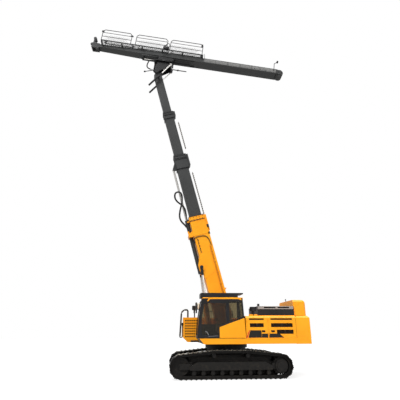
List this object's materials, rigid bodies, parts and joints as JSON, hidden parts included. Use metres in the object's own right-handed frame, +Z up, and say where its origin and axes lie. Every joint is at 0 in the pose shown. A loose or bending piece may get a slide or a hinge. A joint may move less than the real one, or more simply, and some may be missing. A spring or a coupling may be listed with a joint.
{
  "type": "crawler mounted telescopic drill rig",
  "caption": "Crawler drill rig: slewing house with cab and engine covers, telescopic boom, and a sliding, swinging drill mast with walkway at its tip.",
  "frame": {"origin": "on the ground, below the middle of the overall box", "axes": "+X forward, +Y to the machine's left, +Z up"},
  "size_m": [12.0659, 3.38, 19.7428],
  "materials": {
    "body_paint": "gloss amber enamel",
    "dark_paint": "satin dark grey enamel",
    "black_paint": "satin black enamel",
    "yellow_steel": "gloss amber enamel",
    "track_steel": "worn rolled steel",
    "chrome_rod": "hard chrome",
    "tinted_glass": "tinted safety glass",
    "seat_plastic": "textured",
    "engine_iron": "cast",
    "hose_rubber": "smooth hydraulic hose",
    "drill_steel": "turned steel"
  },
  "bodies": {
    "base": {"carbody": "track_steel", "slew_ring_lower": "track_steel", "track_left": "track_steel", "track_right": "track_steel", "track_frame_left": "track_steel", "track_frame_right": "track_steel", "track_rollers": "track_steel", "idlers": "track_steel", "sprockets": "track_steel", "final_drives": "track_steel"},
    "house": {"slew_ring_upper": "track_steel", "deck_frame": "dark_paint", "deck_sills": "body_paint", "cab_frame": "black_paint", "cab_panels": "body_paint", "cab_glass": "tinted_glass", "cab_seat": "seat_plastic", "cab_guard": "black_paint", "house_shell": "body_paint", "engine_block": "engine_iron", "counterweight": "body_paint", "rear_cover": "body_paint", "air_precleaner": "black_paint", "storage_box": "body_paint", "tank": "body_paint", "handrails": "black_paint", "mirrors": "black_paint"},
    "cab_door": {"cab_door": "black_paint", "cab_door_glass": "tinted_glass"},
    "door_left_front": {"service_door_left_front": "body_paint"},
    "door_left_rear": {"service_door_left_rear": "body_paint"},
    "door_right_front": {"service_door_right_front": "body_paint"},
    "door_right_rear": {"service_door_right_rear": "body_paint"},
    "hood": {"engine_hood": "black_paint"},
    "boom": {"boom_base": "body_paint", "telescope_barrel": "dark_paint", "boom_hose": "hose_rubber"},
    "lift_barrels": {"lift_barrels": "yellow_steel"},
    "lift_rods": {"lift_rods": "chrome_rod"},
    "section_2": {"boom_section_2": "dark_paint", "telescope_rod": "chrome_rod"},
    "section_3": {"boom_section_3": "dark_paint"},
    "section_4": {"boom_section_4": "dark_paint"},
    "tilt_barrels": {"tilt_barrels": "black_paint"},
    "tilt_rods": {"tilt_rods": "chrome_rod"},
    "head": {"tilt_bracket": "dark_paint", "swing_drive": "dark_paint", "head_hose": "hose_rubber"},
    "swing": {"swing_ring": "dark_paint", "mast_saddle": "dark_paint", "slide_barrel": "black_paint"},
    "mast": {"mast_beam": "dark_paint", "slide_rod": "chrome_rod", "rod_clamp": "dark_paint", "feed_drum": "dark_paint", "walkway": "dark_paint", "guard_rails": "black_paint", "lamp_post": "black_paint"},
    "carriage": {"drill_carriage": "dark_paint"},
    "string": {"drill_string": "drill_steel"}
  },
  "joints": [
    {"name": "slew", "type": "hinge", "parent": "base", "child": "house", "pos_m": [-1.96, 0, 1.25], "axis": [0, 0, 1], "continuous": true},
    {"name": "boom_luff", "type": "hinge", "parent": "house", "child": "boom", "pos_m": [-1.96, 0, 2.05], "axis": [0, -1, 0], "range_deg": [-55, 4]},
    {"name": "lift_barrel_turn", "type": "hinge", "parent": "house", "child": "lift_barrels", "pos_m": [-1.16, 0, 1.75], "axis": [0, -1, 0], "range_deg": [-57.3, 4.2]},
    {"name": "lift_rod_slide", "type": "slide", "parent": "lift_barrels", "child": "lift_rods", "axis": [0.1213, 0, 0.9926], "range_m": [-0.79, 0.058]},
    {"name": "telescope_2", "type": "slide", "parent": "boom", "child": "section_2", "axis": [0.2504, 0, 0.9681], "range_m": [-2.2, 0]},
    {"name": "telescope_3", "type": "slide", "parent": "section_2", "child": "section_3", "axis": [0.2504, 0, 0.9681], "range_m": [-2.2, 0]},
    {"name": "telescope_4", "type": "slide", "parent": "section_3", "child": "section_4", "axis": [0.2504, 0, 0.9681], "range_m": [-2.2, 0]},
    {"name": "mast_tilt", "type": "hinge", "parent": "section_4", "child": "head", "pos_m": [1.89335, 0, 16.94979], "axis": [0, -1, 0], "range_deg": [-35, 55]},
    {"name": "tilt_barrel_turn", "type": "hinge", "parent": "section_4", "child": "tilt_barrels", "pos_m": [1.77943, 0, 16.50929], "axis": [0, -1, 0], "range_deg": [-29.3, 46]},
    {"name": "tilt_rod_slide", "type": "slide", "parent": "tilt_barrels", "child": "tilt_rods", "axis": [-0.6328, 0, 0.7743], "range_m": [-0.384, 0.245]},
    {"name": "mast_swing", "type": "hinge", "parent": "head", "child": "swing", "pos_m": [1.38, 0, 18.03], "axis": [-0.1219, 0, 0.9925], "range_deg": [-90, 90]},
    {"name": "mast_slide", "type": "slide", "parent": "swing", "child": "mast", "axis": [0.9925, 0, 0.1219], "range_m": [-0.8, 0.8]},
    {"name": "drill_feed", "type": "slide", "parent": "mast", "child": "carriage", "axis": [0.9925, 0, 0.1219], "range_m": [0, 3]},
    {"name": "string_turn", "type": "hinge", "parent": "carriage", "child": "string", "pos_m": [1.35745, 0, 18.21362], "axis": [0.9925, 0, 0.1219], "continuous": true},
    {"name": "cab_door_hinge", "type": "hinge", "parent": "house", "child": "cab_door", "pos_m": [-1.8625, 1.5323, 2.5], "axis": [0, 0, 1], "range_deg": [0, 100]},
    {"name": "door_left_front_hinge", "type": "hinge", "parent": "house", "child": "door_left_front", "pos_m": [-2.7125, 1.5123, 2], "axis": [0, 0, -1], "range_deg": [0, 90]},
    {"name": "door_left_rear_hinge", "type": "hinge", "parent": "house", "child": "door_left_rear", "pos_m": [-3.7175, 1.5123, 2], "axis": [0, 0, -1], "range_deg": [0, 90]},
    {"name": "door_right_front_hinge", "type": "hinge", "parent": "house", "child": "door_right_front", "pos_m": [-2.7125, -1.5123, 2], "axis": [0, 0, 1], "range_deg": [0, 90]},
    {"name": "door_right_rear_hinge", "type": "hinge", "parent": "house", "child": "door_right_rear", "pos_m": [-3.7175, -1.5123, 2], "axis": [0, 0, 1], "range_deg": [0, 90]},
    {"name": "hood_hinge", "type": "hinge", "parent": "house", "child": "hood", "pos_m": [-4.23, -0.9623, 2.65985], "axis": [1, 0, 0], "range_deg": [0, 60]}
  ],
  "couplings": [
    {"joint": "lift_barrel_turn", "follows": "boom_luff", "ratio": 1.0402},
    {"joint": "lift_rod_slide", "follows": "boom_luff", "m_per_rad": 0.8216},
    {"joint": "telescope_3", "follows": "telescope_2", "ratio": 1},
    {"joint": "telescope_4", "follows": "telescope_2", "ratio": 1},
    {"joint": "tilt_barrel_turn", "follows": "mast_tilt", "ratio": 0.8345},
    {"joint": "tilt_rod_slide", "follows": "mast_tilt", "m_per_rad": -0.3986}
  ]
}
